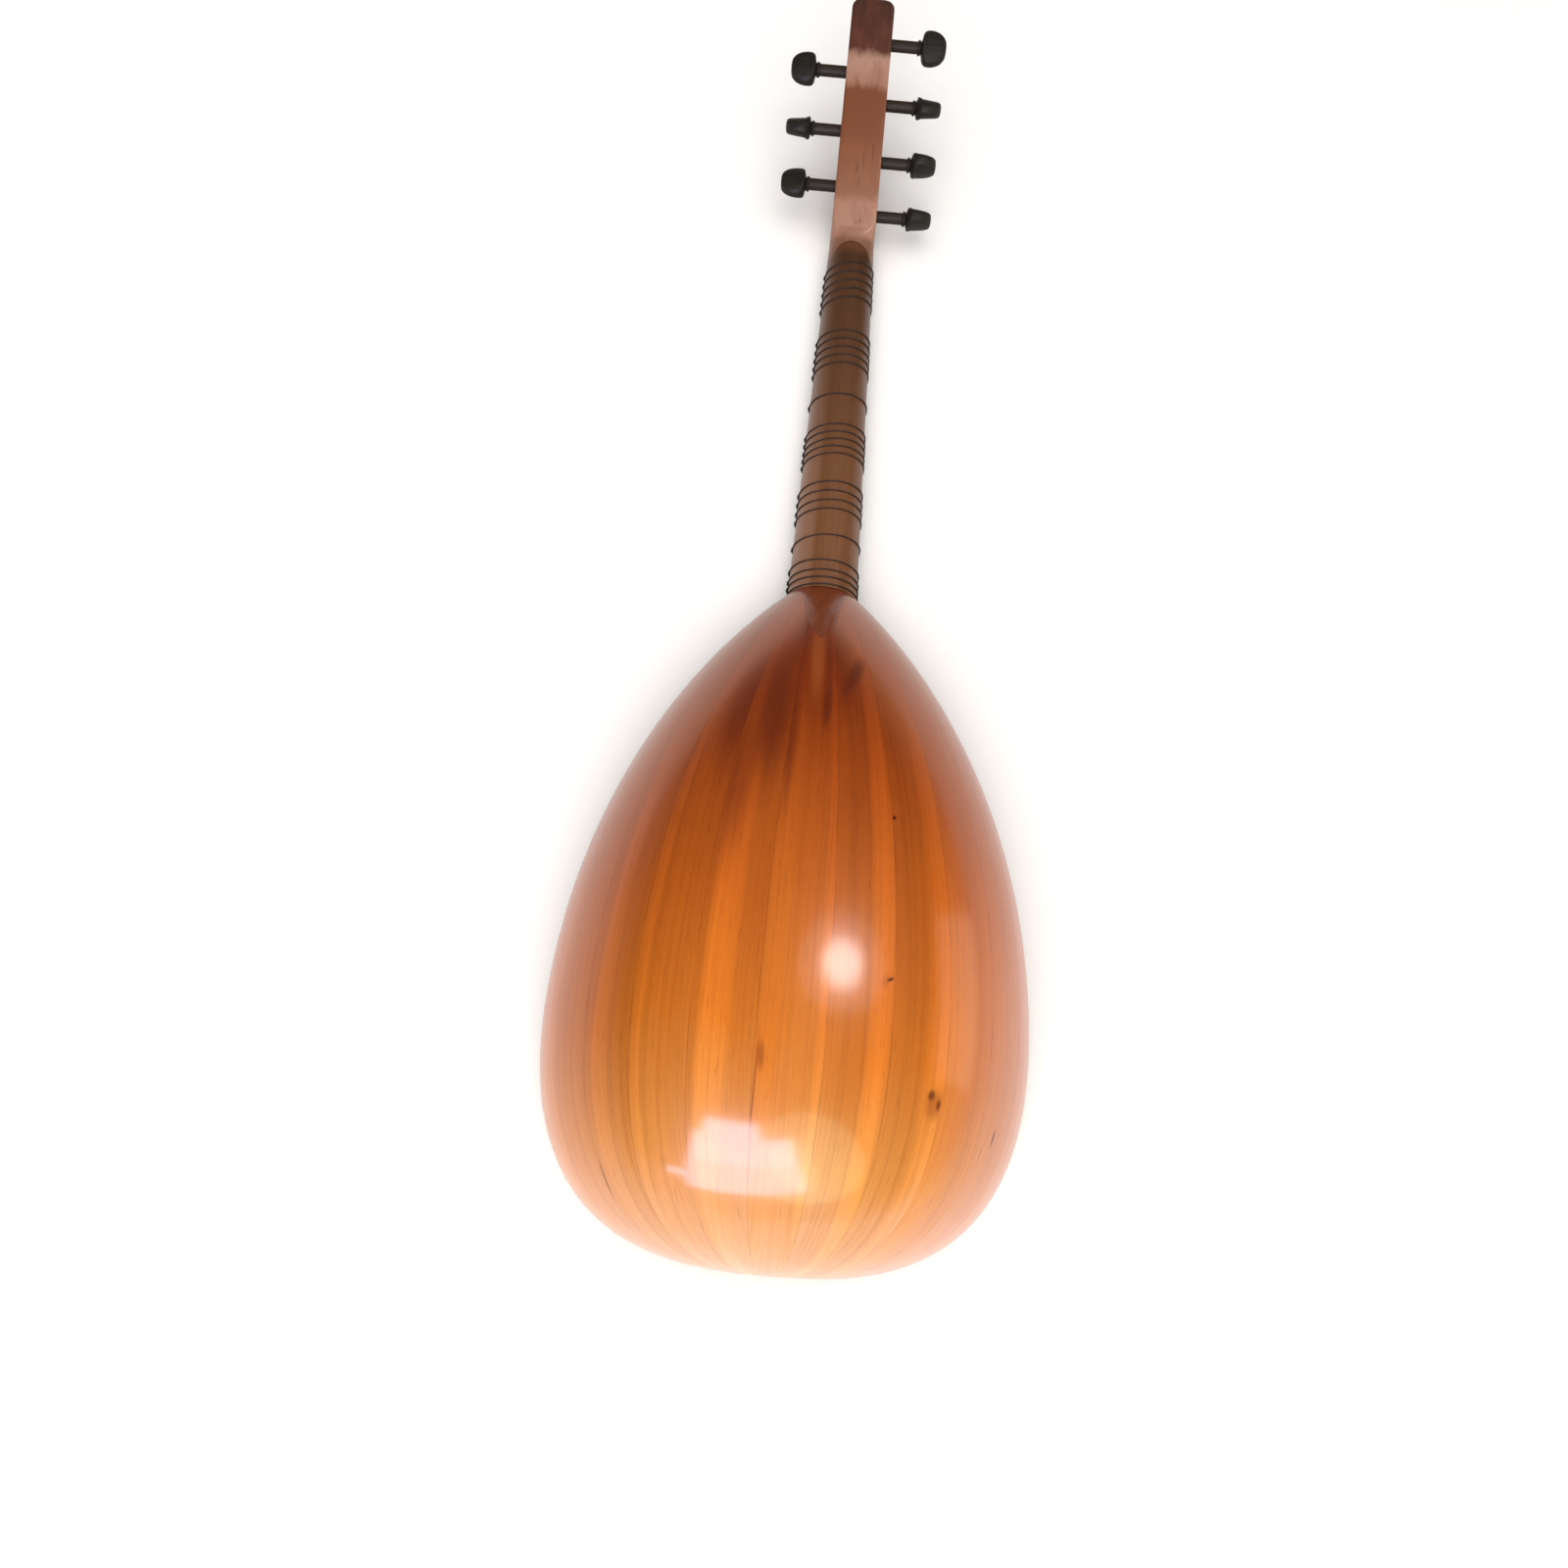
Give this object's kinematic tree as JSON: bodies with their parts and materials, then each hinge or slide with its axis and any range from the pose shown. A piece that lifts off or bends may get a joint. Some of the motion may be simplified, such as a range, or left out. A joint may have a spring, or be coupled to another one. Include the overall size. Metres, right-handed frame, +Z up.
{
  "type": "lavta lute",
  "caption": "Long-necked fretted lute of the oud family with a staved round back, tied frets, a straight bent-back pegbox and friction pegs.",
  "frame": {"origin": "centre of the overall box in X and Y, on the plane that the tops of the nut and the bridge rest on", "axes": "+Y from the tail to the head, +Z up from the soundboard to the back of the bowl as the instrument lies face down, +X to the bass side"},
  "size_m": [0.297, 0.9522, 0.1464],
  "materials": {
    "bowl_ribs": "amber stained wood under clear high-gloss varnish",
    "heel_wood": "dark red-brown wood, glossy",
    "neck_wood": "mid-brown wood, satin",
    "pegbox_wood": "red-brown wood, satin to semi-gloss",
    "peg_wood": "black-stained hardwood, satin",
    "fret_nylon": "dark tied nylon",
    "string_nylon": "clear nylon",
    "string_wound": "fine round-wound metal over silk",
    "soundboard_wood": "straight-grained spruce, thin satin finish",
    "rosette_wood": "carved dark wood",
    "dark_wood": "dark hardwood, satin",
    "block_wood": "bare pale softwood",
    "bone": "polished bone"
  },
  "bodies": {
    "lute": {"rib_01": "bowl_ribs", "rib_02": "bowl_ribs", "rib_03": "bowl_ribs", "rib_04": "bowl_ribs", "rib_05": "bowl_ribs", "rib_06": "bowl_ribs", "rib_07": "bowl_ribs", "rib_08": "bowl_ribs", "rib_09": "bowl_ribs", "rib_10": "bowl_ribs", "rib_11": "bowl_ribs", "rib_12": "bowl_ribs", "rib_13": "bowl_ribs", "heel_cap": "heel_wood", "neck_block": "block_wood", "end_clasp": "bowl_ribs", "tail_block": "block_wood", "soundboard_bass": "soundboard_wood", "soundboard_treble": "soundboard_wood", "edge_binding": "dark_wood", "rosette": "rosette_wood", "brace_1": "block_wood", "brace_2": "block_wood", "brace_3": "block_wood", "brace_4": "block_wood", "brace_5": "block_wood", "neck": "neck_wood", "fingerboard": "dark_wood", "nut": "bone", "frets_1": "fret_nylon", "frets_2": "fret_nylon", "frets_3": "fret_nylon", "frets_4": "fret_nylon", "frets_5": "fret_nylon", "frets_6": "fret_nylon", "frets_7": "fret_nylon", "bridge": "dark_wood", "pegbox_back": "pegbox_wood", "pegbox_cheek_bass": "pegbox_wood", "pegbox_cheek_treble": "pegbox_wood", "pegbox_end": "pegbox_wood", "string_1": "string_nylon", "string_2": "string_nylon", "string_3": "string_nylon", "string_4": "string_nylon", "string_5": "string_wound", "string_6": "string_wound", "string_7": "string_wound"},
    "peg_1": {"peg_1": "peg_wood"},
    "peg_2": {"peg_2": "peg_wood"},
    "peg_3": {"peg_3": "peg_wood"},
    "peg_4": {"peg_4": "peg_wood"},
    "peg_5": {"peg_5": "peg_wood"},
    "peg_6": {"peg_6": "peg_wood"},
    "peg_7": {"peg_7": "peg_wood"}
  },
  "joints": [
    {"name": "peg_1_turn", "type": "hinge", "parent": "lute", "child": "peg_1", "pos_m": [0, 0.31618, 0.02008], "axis": [1, 0, 0], "continuous": true},
    {"name": "peg_2_turn", "type": "hinge", "parent": "lute", "child": "peg_2", "pos_m": [0, 0.3364, 0.02746], "axis": [1, 0, 0], "continuous": true},
    {"name": "peg_3_turn", "type": "hinge", "parent": "lute", "child": "peg_3", "pos_m": [0, 0.35721, 0.03506], "axis": [1, 0, 0], "continuous": true},
    {"name": "peg_4_turn", "type": "hinge", "parent": "lute", "child": "peg_4", "pos_m": [0, 0.37863, 0.04287], "axis": [1, 0, 0], "continuous": true},
    {"name": "peg_5_turn", "type": "hinge", "parent": "lute", "child": "peg_5", "pos_m": [0, 0.40065, 0.05091], "axis": [1, 0, 0], "continuous": true},
    {"name": "peg_6_turn", "type": "hinge", "parent": "lute", "child": "peg_6", "pos_m": [0, 0.42327, 0.05917], "axis": [1, 0, 0], "continuous": true},
    {"name": "peg_7_turn", "type": "hinge", "parent": "lute", "child": "peg_7", "pos_m": [0, 0.44649, 0.06764], "axis": [1, 0, 0], "continuous": true}
  ]
}
